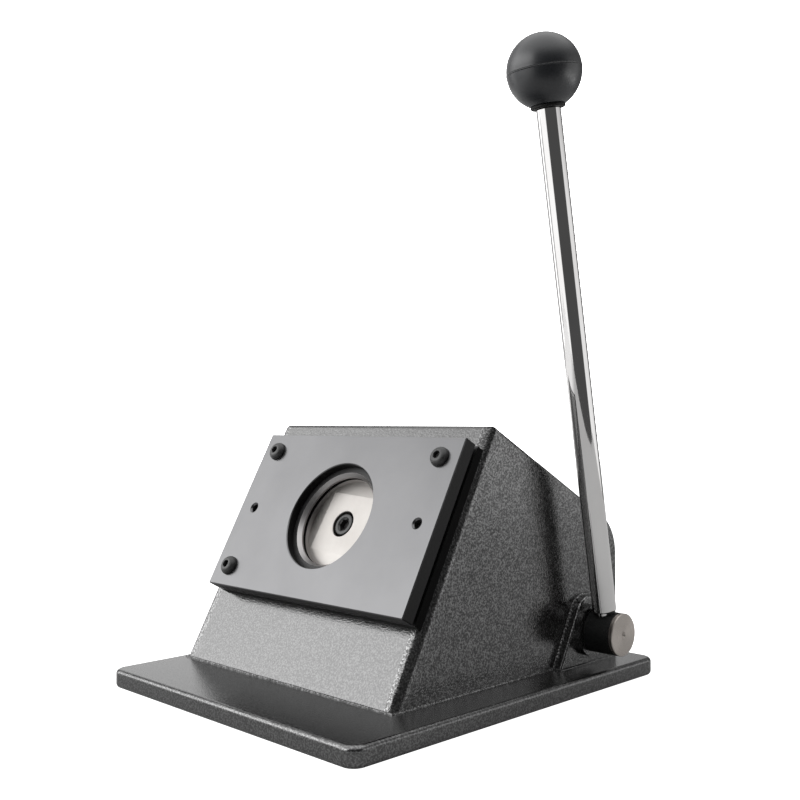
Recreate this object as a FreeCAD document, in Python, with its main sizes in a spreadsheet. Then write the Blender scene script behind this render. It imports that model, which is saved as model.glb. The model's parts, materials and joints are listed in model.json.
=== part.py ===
import FreeCAD, Part
import math
import os
import re
import Sketcher
from FreeCAD import Placement, Rotation, Vector

# Stand-type circle punch that cuts the paper discs for button badges.
#
# Frame, in millimetres: origin at the centre of the base plate's underside, +X to the right of a
# person facing the window, +Y to the back, +Z up. Three frames of its own serve the other parts:
#   punch frame  origin where the punch axis meets the sloping face, X as the row's, Y up the
#                slope, Z out of the slope. The head, the punch and the ram are built in it.
#   shaft frame  Z along the drive shaft, so a height in it is the row's X.
#   lever frame  origin on the shaft axis, Z along the lever rod.

DRIVING_SIZES = [
    # base plate
    ("base_w", 254, "base plate, left to right"),
    ("base_d", 305, "base plate, front to back"),
    ("base_thick", 12.7, "base plate thickness"),
    ("base_corner", 10, "radius of its upright corners"),
    ("base_edge", 3, "radius of its top and bottom edges"),
    # housing
    ("foot_y", -93.8, "line where the sloping face meets the base"),
    ("slope", 61.5, "angle of the sloping face"),
    ("ridge_z", 185.6, "height of the ridge"),
    ("back_slope", 28, "angle of the back slope"),
    ("rear_y", 146.3, "rear wall"),
    ("left_x", -120.2, "outside of the left wall"),
    ("right_x", 97.25, "outside of the right wall"),
    ("wall", 8, "side plate thickness"),
    ("shell", 6, "bent sheet thickness"),
    ("wall_edge", 4, "radius ground on the left wall's welded corners"),
    ("lever_side_edge", 2.5, "radius on the corners of the wall at the lever's side"),
    ("lever_side_slope", 7.5, "larger radius on its sloping front corner"),
    ("slope_reach", 130, "half the stretch of slope that the larger radius runs along"),
    ("ridge_bend", 4, "outside radius of the ridge bend"),
    ("rear_bend", 34, "outside radius of the rear bend"),
    ("rail_w", 15, "foot rail width"),
    ("rail_tall", 8, "foot rail height"),
    ("rail_front", -72, "front end of the foot rails"),
    ("rail_back", 126, "back end of the foot rails"),
    ("base_screw_front", -55, "front base screws"),
    ("base_screw_back", 105, "back base screws"),
    ("base_screw_r", 3, "base screw thread"),
    ("base_hole_r", 3.3, "its clearance hole"),
    ("base_sink", 2.7, "depth of its countersink"),
    ("base_screw_sunk", 0.4, "flat head below the base's underside"),
    ("base_screw_len", 20, "end of the screw above the underside"),
    ("base_screw_hex", 4, "socket across flats"),
    # punching head, heights above the sloping face
    ("head_x", -4.5, "punch axis, left to right"),
    ("head_up", 115, "punch axis, up the slope from the foot line"),
    ("plate_w", 202.4, "window plate width"),
    ("plate_tall", 124, "window plate, along the slope"),
    ("plate_thick", 10.4, "window plate thickness"),
    ("plate_chamfer", 0.6, "chamfer round the window plate"),
    ("guide_thick", 6.3, "guide plate thickness"),
    ("slot", 2, "paper slot"),
    ("window_r", 39.6, "window in the plate"),
    ("die_thick", 4, "die ring thickness"),
    ("die_outer_r", 44, "die ring seat"),
    ("die_r", 33.35, "cutting bore"),
    ("die_flare_r", 35.7, "mouth of the die ring"),
    ("die_land", 1.4, "straight length of the cutting bore"),
    ("ring_outer_r", 42, "guide ring seat"),
    ("ring_chamfer", 0.4, "chamfer at the mouths of both rings"),
    ("screw_x", 84.5, "head screws either side of the axis"),
    ("screw_up", 47, "head screws above and below the axis"),
    ("screw_r", 4, "head screw thread"),
    ("screw_hole_r", 4.5, "head screw clearance"),
    ("screw_head_r", 7, "button head"),
    ("screw_head_tall", 4.6, "button head height"),
    ("screw_hex", 5, "socket across flats"),
    ("screw_socket", 3, "depth of the socket"),
    ("screw_rim", 0.8, "upright rim under the dome"),
    ("screw_shoulder_r", 6, "dome halfway up"),
    ("screw_crown_r", 3.6, "flat crown of the dome"),
    ("screw_tail", -6.3, "end of the head screws"),
    ("spacer_r", 8, "slot spacer"),
    ("dowel_x", 85, "dowel pins either side of the axis"),
    ("dowel_r", 3, "dowel pin"),
    ("dowel_low", -5, "inner end of the dowel pins"),
    ("dowel_sunk", 5, "dowel pins below the plate's face"),
    ("dowel_chamfer", 1.2, "chamfer at the mouths of the dowel holes"),
    # punch and ram, along the punch axis
    ("punch_r", 33.3, "punch"),
    ("punch_face", 3.7, "punch face at rest"),
    ("punch_len", 20, "punch length"),
    ("punch_flat", 22, "half width of the square flat on its face"),
    ("punch_shear", 8, "angle of the four ground flanks round the flat"),
    ("punch_roll", -4, "turn of the punch about its axis"),
    ("bolt_head_r", 8, "cap screw head"),
    ("bolt_head_tall", 10, "cap screw head height"),
    ("bolt_seat_r", 9.5, "counterbore"),
    ("bolt_sunk", 0.6, "cap screw below the punch face"),
    ("bolt_r", 5, "cap screw thread"),
    ("bolt_edge", 0.8, "chamfer of its head"),
    ("bolt_hex", 8, "socket across flats"),
    ("bolt_socket", 5, "depth of the socket"),
    ("bolt_play", 0.25, "radial play of the screw in the punch"),
    ("bolt_len", 35, "cap screw under the head"),
    ("punch_room_r", 34.6, "hole in the sloping face"),
    ("flange_r", 60, "guide sleeve flange"),
    ("flange_thick", 8, "flange thickness"),
    ("cup_r", 42, "outside of the sleeve's cup"),
    ("cup_room_r", 36, "inside of the cup"),
    ("cup_floor", -22, "floor of the cup"),
    ("cup_floor_thick", 8, "thickness of that floor"),
    ("neck_r", 28, "outside of the sleeve's neck"),
    ("neck_end", -76, "rear end of the neck"),
    ("sleeve_bore_r", 21, "seat of the bronze liner"),
    ("flange_screw_r", 52, "pitch radius of the flange screws"),
    ("sleeve_screw_r", 3, "flange screw thread"),
    ("sleeve_hole_r", 3.3, "its clearance hole"),
    ("sleeve_head_r", 5, "flange screw head"),
    ("sleeve_head_tall", 6, "its height"),
    ("sleeve_hex", 5, "its socket across flats"),
    ("sleeve_socket", 3, "depth of the socket"),
    ("sleeve_screw_tip", -1.5, "front end of the flange screws"),
    ("ram_r", 16, "ram"),
    ("running_gap", 0.05, "radial play of a shaft in its bush"),
    ("collar_r", 26, "spring collar"),
    ("collar_face", -124, "spring side of the collar"),
    ("collar_thick", 6, "collar thickness"),
    ("clip_thick", 1.6, "retaining ring in the ram's groove"),
    ("clip_r", 20, "outside of the retaining ring"),
    ("clip_seat_r", 14.8, "bottom of the groove"),
    ("pad_r", 14, "hardened pad on the ram's tail"),
    ("pad_thick", 4, "pad thickness"),
    ("pad_stem_r", 5, "stem of the pad"),
    ("pad_stem", 12, "length of the stem"),
    ("coil_r", 21, "return spring, mean radius"),
    ("wire_r", 2.5, "return spring wire"),
    ("coils", 6, "return spring turns"),
    # shaft and lever
    ("pivot_y", 100.5, "shaft axis"),
    ("pivot_z", 36.8, "shaft axis"),
    ("shaft_r", 10, "shaft"),
    ("shaft_left", -125.7, "left end of the shaft"),
    ("washer_r", 17, "thrust washer"),
    ("washer_thick", 1.8, "thrust washer thickness"),
    ("side_gap", 0.2, "side play at the left wall"),
    ("shaft_clip_thick", 1.2, "shaft clip"),
    ("shaft_clip_r", 14, "outside of the shaft clip"),
    ("shaft_seat_r", 9, "bottom of its groove"),
    ("shaft_chamfer", 1, "chamfer of the shaft's left end"),
    ("ring_gap", 8, "gap of both retaining rings"),
    ("bush_r", 13, "shaft bush, outside"),
    ("bush_flange_r", 15.8, "flange of the left bush"),
    ("bush_flange", 3, "its thickness"),
    ("bracket_top", 24.3, "top of the bearing bracket above the shaft axis"),
    ("bracket_back", 28.5, "its back edge behind the shaft axis"),
    ("bracket_flank", 61, "angle of its front flank"),
    ("flank_off", 18.8, "front flank from the shaft axis"),
    ("bracket_bend", 16, "radius of its front top corner"),
    ("bracket_corner", 10, "radius of its back top corner"),
    ("bracket_thick", 6.4, "bracket thickness"),
    ("bracket_edge", 1.6, "radius of its outer edge"),
    ("boss_r", 18.6, "boss round the shaft"),
    ("boss_proud", 4.6, "boss height"),
    ("hub_gap", 0.5, "hub clear of the boss"),
    ("hub_r", 15, "lever hub and shaft head"),
    ("hub_end", 129.5, "outer end of the hub"),
    ("head_thick", 3, "bright head of the shaft"),
    ("head_chamfer", 0.5, "chamfer of the shaft head"),
    ("dimple_r", 2.2, "centre drilling"),
    ("dimple_deep", 2, "depth of the centre drilling"),
    ("rod_x", 118.6, "lever rod"),
    ("lean", 10.57, "lean of the lever at rest, towards the front"),
    ("lever_len", 392.6, "shaft axis to the centre of the ball"),
    ("rod_r", 8.5, "lever rod"),
    ("rod_neck_r", 6, "threaded foot of the rod"),
    ("rod_foot", 3, "end of the thread from the shaft axis"),
    ("rod_start", 16, "shoulder of the rod from the shaft axis"),
    ("rod_chamfer", 1.2, "chamfer of the shoulder"),
    ("ball_r", 25.7, "ball knob"),
    ("ball_flat", 22.5, "flat of the ball below its centre"),
    ("insert_r", 8, "sleeve of the knob insert"),
    ("insert_deep", 24, "length of the sleeve in the ball"),
    ("insert_flange_r", 11.8, "collar under the ball"),
    ("insert_flange", 2.2, "collar thickness"),
    ("stud_r", 5, "threaded top of the rod"),
    ("stud_len", 20, "its length"),
    # cam
    ("cam_base_r", 8.5, "base circle of the involute: ram travel per radian"),
    ("cam_lift", 16, "shaft axis to the pad's contact at rest"),
    ("cam_gap", 0.3, "play between cam and pad"),
    ("cam_thick", 18, "cam thickness"),
    ("cam_boss_r", 15.5, "cam boss"),
    ("cam_tip_roll", 3.2, "roll angle of the cam's tip, in radians"),
    ("cam_nose", 7, "length of the rounded nose past the tip"),
    ("key_w", 6, "key, square"),
    ("key_sunk", 3.5, "keyway depth in the shaft"),
]

doc = FreeCAD.newDocument("badge_punch")
sheet = doc.addObject("Spreadsheet::Sheet", "Sizes")
for line, (alias, number, meaning) in enumerate(DRIVING_SIZES, start=1):
    sheet.set("A%d" % line, meaning)
    sheet.set("B%d" % line, str(number))
    sheet.setAlias("B%d" % line, alias)
doc.recompute()

ALIASES = {alias for alias, number, meaning in DRIVING_SIZES}
nodes = []


def size(alias):
    """A driving size, as a number."""
    return float(sheet.get(alias))


def bound(formula):
    """The formula with each alias written as the spreadsheet's cell."""
    return re.sub(r"[a-z][a-z_]*", lambda w: "Sizes." + w.group() if w.group() in ALIASES else w.group(),
                  str(formula))


# --- places ------------------------------------------------------------------------------------

RIDGE_Y = "(foot_y + (ridge_z - base_thick) / tan(slope))"
REAR_Z = "(ridge_z - (rear_y - %s) * tan(back_slope))" % RIDGE_Y
PIVOT_DEPTH = "((pivot_y - foot_y - head_up * cos(slope)) * sin(slope)" \
              " - (pivot_z - base_thick - head_up * sin(slope)) * cos(slope))"
RAM_END = "(cam_lift + cam_gap + pad_thick - %s)" % PIVOT_DEPTH
GUIDE_TOP = "guide_thick"
PLATE_BACK = "(guide_thick + slot)"
PLATE_FRONT = "(guide_thick + slot + plate_thick)"
SCREW_SPOTS = [("-screw_x", "screw_up"), ("screw_x", "screw_up"), ("-screw_x", "-screw_up")]
DOWEL_SPOTS = [("-dowel_x", "0"), ("dowel_x", "0")]
EIGHTH_TURNS = [45, 135, 225, 315]

slope_angle = math.radians(size("slope"))
UP_SLOPE = Vector(0, math.cos(slope_angle), math.sin(slope_angle))
OUT_OF_SLOPE = Vector(0, -math.sin(slope_angle), math.cos(slope_angle))
ROW_FRAME = Placement()
PUNCH_FRAME = Placement(Vector(size("head_x"), size("foot_y"), size("base_thick"))
                        + UP_SLOPE * size("head_up"), Rotation(Vector(1, 0, 0), size("slope")))
SHAFT_FRAME = Placement(Vector(0, size("pivot_y"), size("pivot_z")), Rotation(Vector(0, 1, 0), 90))
LEVER_FRAME = Placement(Vector(size("rod_x"), size("pivot_y"), size("pivot_z")),
                        Rotation(Vector(1, 0, 0), size("lean")))
PUNCH_ROLL = Placement(Vector(), Rotation(Vector(0, 0, 1), size("punch_roll")))


# --- ways of making a piece --------------------------------------------------------------------

def new_body(name, place=ROW_FRAME):
    body = doc.addObject("PartDesign::Body", name + "_body")
    body.Placement = place
    return body


def new_sketch(body, plane, offset="0"):
    """A sketch on one of the body's own origin planes, moved along the plane's normal."""
    sketch = body.newObject("Sketcher::SketchObject", body.Name + "_sketch")
    support = [f for f in body.Origin.OriginFeatures if f.Role == plane + "_Plane"][0]
    sketch.AttachmentSupport = [(support, "")]
    sketch.MapMode = "FlatFace"
    sketch.setExpression("AttachmentOffset.Base.z", bound(offset))
    return sketch


def place_point(sketch, geometry, end, spot, start):
    """Holds one point of the sketch at a place given by two formulas."""
    for kind, formula, number in (("DistanceX", spot[0], start.x), ("DistanceY", spot[1], start.y)):
        row = sketch.addConstraint(Sketcher.Constraint(kind, geometry, end, number))
        sketch.setExpression("Constraints[%d]" % row, bound(formula))


def draw_outline(sketch, spots):
    """A closed outline of straight lines through the spots, each a pair of formulas."""
    count = len(spots)
    start = [Vector(10 * math.cos(2 * math.pi * i / count), 10 * math.sin(2 * math.pi * i / count), 0)
             for i in range(count)]
    for i in range(count):
        sketch.addGeometry(Part.LineSegment(start[i], start[(i + 1) % count]), False)
    for i in range(count):
        sketch.addConstraint(Sketcher.Constraint("Coincident", i, 2, (i + 1) % count, 1))
    for i in range(count):
        place_point(sketch, i, 1, spots[i], start[i])


def draw_circle(sketch, spot, radius):
    start = Vector(sketch.GeometryCount, 1, 0)
    row = sketch.addGeometry(Part.Circle(start, Vector(0, 0, 1), 1), False)
    place_point(sketch, row, 3, spot, start)
    rule = sketch.addConstraint(Sketcher.Constraint("Radius", row, 1))
    sketch.setExpression("Constraints[%d]" % rule, bound(radius))


def pad(body, sketch, length):
    feature = body.newObject("PartDesign::Pad", body.Name + "_pad")
    feature.Profile = sketch
    feature.setExpression("Length", bound(length))
    doc.recompute()
    return feature


def pocket(body, sketch, depth=None, reverse=False):
    """Cuts the sketch into the body: to a depth, or right through when depth is None."""
    before = body.Shape.Volume
    feature = body.newObject("PartDesign::Pocket", body.Name + "_pocket")
    feature.Profile = sketch
    feature.Reversed = reverse
    if depth is None:
        feature.Type = "ThroughAll"
        feature.Midplane = True
    else:
        feature.setExpression("Length", bound(depth))
    doc.recompute()
    if body.Shape.Volume >= before:
        raise RuntimeError(body.Name + ": a pocket cut nothing")
    return feature


def turned(name, outline, place=ROW_FRAME):
    """A body of revolution about its own Z: the outline's spots are (radius, height)."""
    body = new_body(name, place)
    sketch = new_sketch(body, "XZ")
    draw_outline(sketch, outline)
    feature = body.newObject("PartDesign::Revolution", body.Name + "_turn")
    feature.Profile = sketch
    feature.ReferenceAxis = (sketch, ["V_Axis"])
    feature.Angle = 360
    doc.recompute()
    return body


def ring_outline(inner, outer, low, high):
    return [(inner, low), (outer, low), (outer, high), (inner, high)]


def prism(name, plane, outline, start, length, place=ROW_FRAME):
    body = new_body(name, place)
    sketch = new_sketch(body, plane, start)
    draw_outline(sketch, outline)
    pad(body, sketch, length)
    return body


def box_outline(low_x, high_x, low_y, high_y):
    return [(low_x, low_y), (high_x, low_y), (high_x, high_y), (low_x, high_y)]


def hex_outline(across):
    """A hexagon of the given width across its flats."""
    return [("%s / sqrt(3) * cos(%d)" % (across, turn), "%s / sqrt(3) * sin(%d)" % (across, turn))
            for turn in range(0, 360, 60)]


def drill(body, plane, spots, radius, top="0", depth=None, reverse=False):
    sketch = new_sketch(body, plane, top)
    for spot in spots:
        draw_circle(sketch, spot, radius)
    return pocket(body, sketch, depth, reverse)


def dress(body, kind, amount, wanted):
    """A fillet or chamfer on every edge of the body that the test picks."""
    base = body.Tip
    names = ["Edge%d" % i for i, edge in enumerate(base.Shape.Edges, start=1) if wanted(edge)]
    feature = body.newObject("PartDesign::" + kind, body.Name + "_" + kind)
    feature.Base = (base, names)
    feature.setExpression("Radius" if kind == "Fillet" else "Size", bound(amount))
    doc.recompute()
    return feature


def same(a, b):
    return abs(a - b) < 0.001


def ends(edge, axis):
    """The edge's lowest and highest coordinate along an axis, 0 for X, 1 for Y, 2 for Z."""
    box = edge.BoundBox
    return ((box.XMin, box.XMax), (box.YMin, box.YMax), (box.ZMin, box.ZMax))[axis]


def lies_at(edge, axis, level):
    low, high = ends(edge, axis)
    return abs(low - level) < 0.01 and abs(high - level) < 0.01


def round_edge(edge, radius, axis, level):
    return isinstance(edge.Curve, Part.Circle) and same(edge.Curve.Radius, radius) \
        and lies_at(edge, axis, level)


def rod_cutter(name, place, radius, low, high):
    """A cylinder along the place's Z between two heights, to cut with."""
    cutter = doc.addObject("Part::Cylinder", name)
    cutter.setExpression("Radius", bound(radius))
    cutter.setExpression("Height", bound("%s - (%s)" % (high, low)))
    doc.recompute()
    cutter.Placement = place
    return cutter


def along(place, x, y, z):
    """The place moved within its own axes."""
    return place.multiply(Placement(Vector(x, y, z), Rotation()))


def cut(name, base, cutters):
    """The base less all the cutters."""
    tool = cutters[0]
    if len(cutters) > 1:
        tool = doc.addObject("Part::MultiFuse", name + "_tools")
        tool.Shapes = cutters
    result = doc.addObject("Part::Cut", name + "_cut")
    result.Base = base
    result.Tool = tool
    doc.recompute()
    if result.Shape.Volume >= base.Shape.Volume:
        raise RuntimeError(name + ": the cutters missed")
    return result


def group(name, pattern, places):
    """Copies of one piece at several places, as one node of separate solids."""
    own = pattern.Placement
    copies = []
    for place in places:
        copy = pattern.Shape.copy()
        copy.Placement = place.multiply(own)
        copies.append(copy)
    feature = doc.addObject("Part::Feature", name + "_group")
    feature.Shape = Part.makeCompound(copies)
    return feature


def finish(name, piece):
    piece.Label = name
    nodes.append(piece)
    return piece


# --- base and housing --------------------------------------------------------------------------

def make_base_plate():
    outline = box_outline("-base_w / 2", "base_w / 2", "-base_d / 2", "base_d / 2")
    body = prism("base_plate", "XY", outline, "0", "base_thick")
    thick = size("base_thick")
    dress(body, "Fillet", "base_corner", lambda e: ends(e, 2)[1] - ends(e, 2)[0] > thick - 0.01)
    dress(body, "Fillet", "base_edge", lambda e: lies_at(e, 2, 0) or lies_at(e, 2, thick))
    drill(body, "XY", base_screw_spots(), "base_hole_r")
    dress(body, "Chamfer", "base_sink", lambda e: round_edge(e, size("base_hole_r"), 2, 0))
    return body


def rail_centre(side):
    if side == "left":
        return "(left_x + wall + rail_w / 2)"
    return "(right_x - wall - rail_w / 2)"


def base_screw_spots():
    return [(rail_centre(side), y) for side in ("left", "right")
            for y in ("base_screw_front", "base_screw_back")]


def make_foot_rail(side):
    centre = rail_centre(side)
    outline = box_outline(centre + " - rail_w / 2", centre + " + rail_w / 2", "rail_front", "rail_back")
    body = prism("foot_rail_" + side, "XY", outline, "base_thick", "rail_tall")
    drill(body, "XY", [(centre, "base_screw_front"), (centre, "base_screw_back")], "base_screw_r")
    return body


def make_base_screws():
    """Countersunk screws from below; each head's cone lies in the base's countersink."""
    pattern = turned("base_screw", [("0", "base_screw_sunk"),
                                    ("base_screw_r + base_sink - base_screw_sunk", "base_screw_sunk"),
                                    ("base_screw_r", "base_sink"), ("base_screw_r", "base_screw_len"),
                                    ("0", "base_screw_len")])
    sketch = new_sketch(pattern, "XY", "base_screw_sunk")
    draw_outline(sketch, hex_outline("base_screw_hex"))
    pocket(pattern, sketch, "base_sink", reverse=True)
    left = size("left_x") + size("wall") + size("rail_w") / 2
    right = size("right_x") - size("wall") - size("rail_w") / 2
    places = [Placement(Vector(x, y, 0), Rotation()) for x in (left, right)
              for y in (size("base_screw_front"), size("base_screw_back"))]
    return group("base_screws", pattern, places)


def wedge_outline():
    return [("foot_y", "base_thick"), (RIDGE_Y, "ridge_z"), ("rear_y", REAR_Z), ("rear_y", "base_thick")]


def bend(body, name, radius, y_range, z_floor):
    """Rounds the wedge's corners that run left to right."""
    def wanted(edge):
        low, high = ends(edge, 1)
        runs_across = ends(edge, 0)[1] - ends(edge, 0)[0] > 1 and high - low < 0.01
        return runs_across and y_range[0] < low < y_range[1] and ends(edge, 2)[0] > z_floor
    dress(body, "Fillet", radius, wanted)


def make_side_plate(side):
    start = "left_x" if side == "left" else "right_x - wall"
    body = prism("side_plate_" + side, "YZ", wedge_outline(), start, "wall")
    bend(body, side, "ridge_bend", (-20, 20), 100)
    bend(body, side, "rear_bend", (size("rear_y") - 1, size("rear_y") + 1), 50)
    outside = size("left_x") if side == "left" else size("right_x")
    floor = size("base_thick")
    dress(body, "Fillet", "wall_edge" if side == "left" else "lever_side_edge",
          lambda e: lies_at(e, 0, outside) and not lies_at(e, 2, floor))
    drill(body, "YZ", [("pivot_y", "pivot_z")], "bush_r")
    if side == "left":
        return body
    return cut("side_plate_right", body, [slope_corner_cutter()])


def slope_corner_cutter():
    """What grinding takes off the lever side's sloping corner: a square bar less a round one."""
    edge_x = "(right_x - head_x)"
    middle = edge_x + " - lever_side_slope"
    cutter = prism("slope_corner_cutter", "XZ", box_outline(middle, edge_x + " + 1", "-lever_side_slope", "1"),
                   "-slope_reach", "2 * slope_reach", PUNCH_FRAME)
    drill(cutter, "XZ", [(middle, "-lever_side_slope")], "lever_side_slope", "-slope_reach",
          "2 * slope_reach", reverse=True)
    return cutter


def make_housing_shell():
    """The bent sheet between the side plates, with the holes that the head needs."""
    width = "right_x - left_x - 2 * wall"
    body = prism("housing_shell", "YZ", wedge_outline(), "left_x + wall", width)
    bend(body, "ridge", "ridge_bend", (-20, 20), 100)
    bend(body, "rear", "rear_bend", (size("rear_y") - 1, size("rear_y") + 1), 50)
    inner_front = "foot_y + shell / sin(slope)"
    inner_ridge = (RIDGE_Y + " + shell * (cos(back_slope) - cos(slope)) / sin(slope + back_slope)",
                   "ridge_z - shell * (sin(slope) + sin(back_slope)) / sin(slope + back_slope)")
    inner_rear = ("rear_y - shell", REAR_Z + " - shell * (1 - sin(back_slope)) / cos(back_slope)")
    sketch = new_sketch(body, "YZ", "left_x + wall")
    draw_outline(sketch, [(inner_front, "base_thick"), inner_ridge, inner_rear,
                          ("rear_y - shell", "base_thick")])
    pocket(body, sketch, width, reverse=True)
    half = size("screw_x")
    up = size("screw_up")
    cutters = [rod_cutter("punch_hole", along(PUNCH_FRAME, 0, 0, -10), "punch_room_r", "-10", "5")]
    for x, y in ((-half, up), (half, up), (-half, -up)):
        cutters.append(rod_cutter("screw_thread", along(PUNCH_FRAME, x, y, -10), "screw_r", "-10", "5"))
    for x in (-size("dowel_x"), size("dowel_x")):
        cutters.append(rod_cutter("dowel_seat", along(PUNCH_FRAME, x, 0, size("dowel_low")), "dowel_r",
                                  "dowel_low", "5"))
    for spot in flange_screw_places():
        cutters.append(rod_cutter("flange_thread", along(spot, 0, 0, -10), "sleeve_screw_r", "-10", "-1"))
    return cut("housing_shell", body, cutters)


def flange_screw_places():
    radius = size("flange_screw_r")
    return [along(PUNCH_FRAME, radius * math.cos(math.radians(turn)), radius * math.sin(math.radians(turn)), 0)
            for turn in EIGHTH_TURNS]


def make_bearing_bracket():
    """Upright plate welded to the right wall, with a sloping front flank and a boss for the shaft."""
    top = "(pivot_z + bracket_top)"
    back = "(pivot_y + bracket_back)"

    def flank_y(height):
        return "(pivot_y - (flank_off - (%s - pivot_z) * cos(bracket_flank)) / sin(bracket_flank))" % height

    outline = [(flank_y("base_thick"), "base_thick"), (flank_y(top), top), (back, top), (back, "base_thick")]
    body = prism("bearing_bracket", "YZ", outline, "right_x", "bracket_thick")
    high = size("pivot_z") + size("bracket_top")
    for radius, behind in (("bracket_bend", False), ("bracket_corner", True)):
        dress(body, "Fillet", radius, lambda e: ends(e, 0)[1] - ends(e, 0)[0] > 1 and lies_at(e, 2, high)
              and (ends(e, 1)[0] > size("pivot_y")) == behind)
    outside = size("right_x") + size("bracket_thick")
    floor = size("base_thick")
    dress(body, "Fillet", "bracket_edge", lambda e: lies_at(e, 0, outside) and not lies_at(e, 2, floor))
    boss = new_sketch(body, "YZ", "right_x")
    draw_circle(boss, ("pivot_y", "pivot_z"), "boss_r")
    pad(body, boss, "bracket_thick + boss_proud")
    drill(body, "YZ", [("pivot_y", "pivot_z")], "bush_r")
    return body


# --- punching head -----------------------------------------------------------------------------

def head_outline():
    return box_outline("-plate_w / 2", "plate_w / 2", "-plate_tall / 2", "plate_tall / 2")


def make_guide_plate():
    body = prism("guide_plate", "XY", head_outline(), "0", "guide_thick", PUNCH_FRAME)
    drill(body, "XY", [("0", "0")], "ring_outer_r")
    drill(body, "XY", SCREW_SPOTS, "screw_hole_r")
    drill(body, "XY", DOWEL_SPOTS, "dowel_r")
    return body


def make_guide_ring():
    top = GUIDE_TOP
    return turned("guide_ring", [("die_r", "0"), ("ring_outer_r", "0"), ("ring_outer_r", top),
                                 ("die_r + ring_chamfer", top), ("die_r", top + " - ring_chamfer")],
                  PUNCH_FRAME)


def make_slot_spacers():
    pattern = turned("slot_spacer", ring_outline("screw_hole_r", "spacer_r", GUIDE_TOP, PLATE_BACK))
    return group("slot_spacers", pattern, head_screw_places())


def head_screw_places():
    half = size("screw_x")
    up = size("screw_up")
    return [along(PUNCH_FRAME, x, y, 0) for x, y in ((-half, up), (half, up), (-half, -up))]


def make_window_plate():
    body = prism("window_plate", "XY", head_outline(), PLATE_BACK, "plate_thick", PUNCH_FRAME)
    dress(body, "Chamfer", "plate_chamfer", lambda e: True)
    drill(body, "XY", [("0", "0")], "window_r")
    drill(body, "XY", [("0", "0")], "die_outer_r", PLATE_BACK, "die_thick", reverse=True)
    drill(body, "XY", SCREW_SPOTS, "screw_hole_r")
    drill(body, "XY", DOWEL_SPOTS, "dowel_r")
    front = size("guide_thick") + size("slot") + size("plate_thick")
    dress(body, "Chamfer", "plate_chamfer", lambda e: round_edge(e, size("window_r"), 2, front))
    dress(body, "Chamfer", "dowel_chamfer", lambda e: round_edge(e, size("dowel_r"), 2, front))
    return body


def make_die_ring():
    top = PLATE_BACK + " + die_thick"
    land = PLATE_BACK + " + die_land"
    return turned("die_ring", [("die_r", PLATE_BACK), ("die_outer_r", PLATE_BACK), ("die_outer_r", top),
                               ("die_flare_r", top), ("die_flare_r - ring_chamfer", top + " - ring_chamfer"),
                               ("die_r", land)], PUNCH_FRAME)


def make_head_screws():
    """Button-head socket screws: a domed head, drawn as a short cone and a flat crown."""
    front = PLATE_FRONT
    pattern = turned("head_screw", [("0", "screw_tail"), ("screw_r", "screw_tail"), ("screw_r", front),
                                    ("screw_head_r", front), ("screw_head_r", front + " + screw_rim"),
                                    ("screw_shoulder_r", front + " + 0.5 * screw_head_tall"),
                                    ("screw_crown_r", front + " + screw_head_tall"),
                                    ("0", front + " + screw_head_tall")])
    sketch = new_sketch(pattern, "XY", front + " + screw_head_tall")
    draw_outline(sketch, hex_outline("screw_hex"))
    pocket(pattern, sketch, "screw_socket")
    return group("head_screws", pattern, head_screw_places())


def make_dowel_pins():
    pattern = turned("dowel_pin", ring_outline("0", "dowel_r", "dowel_low", PLATE_FRONT + " - dowel_sunk"))
    return group("dowel_pins", pattern, [along(PUNCH_FRAME, x, 0, 0) for x in
                                         (-size("dowel_x"), size("dowel_x"))])


# --- punch and ram -----------------------------------------------------------------------------

PUNCH_BACK = "(punch_face - punch_len)"
BOLT_TOP = "(punch_face - bolt_sunk)"
BOLT_SEAT = "(punch_face - bolt_sunk - bolt_head_tall)"


def make_punch():
    """Round punch: a square flat with four flanks ground back from it, cap screw counterbored."""
    place = PUNCH_FRAME.multiply(PUNCH_ROLL)
    body = turned("punch", [("bolt_r + bolt_play", PUNCH_BACK), ("punch_r", PUNCH_BACK), ("punch_r", "punch_face"),
                            ("bolt_seat_r", "punch_face"), ("bolt_seat_r", BOLT_SEAT),
                            ("bolt_r + bolt_play", BOLT_SEAT)], place)
    for plane, side in (("XZ", "-"), ("XZ", ""), ("YZ", "-"), ("YZ", "")):
        sketch = new_sketch(body, plane)
        draw_outline(sketch, [(side + "punch_flat", "punch_face"), (side + "(punch_r + 5)", "punch_face + 1"),
                              (side + "(punch_r + 5)",
                               "punch_face - (punch_r + 5 - punch_flat) * tan(punch_shear)")])
        pocket(body, sketch)
    return body


def make_punch_screw():
    body = turned("punch_screw", [("0", BOLT_SEAT + " - bolt_len"), ("bolt_r", BOLT_SEAT + " - bolt_len"),
                                  ("bolt_r", BOLT_SEAT), ("bolt_head_r", BOLT_SEAT),
                                  ("bolt_head_r", BOLT_TOP + " - bolt_edge"), ("bolt_head_r - bolt_edge", BOLT_TOP),
                                  ("0", BOLT_TOP)], PUNCH_FRAME)
    sketch = new_sketch(body, "XY", BOLT_TOP)
    draw_outline(sketch, hex_outline("bolt_hex"))
    pocket(body, sketch, "bolt_socket")
    return body


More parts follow.
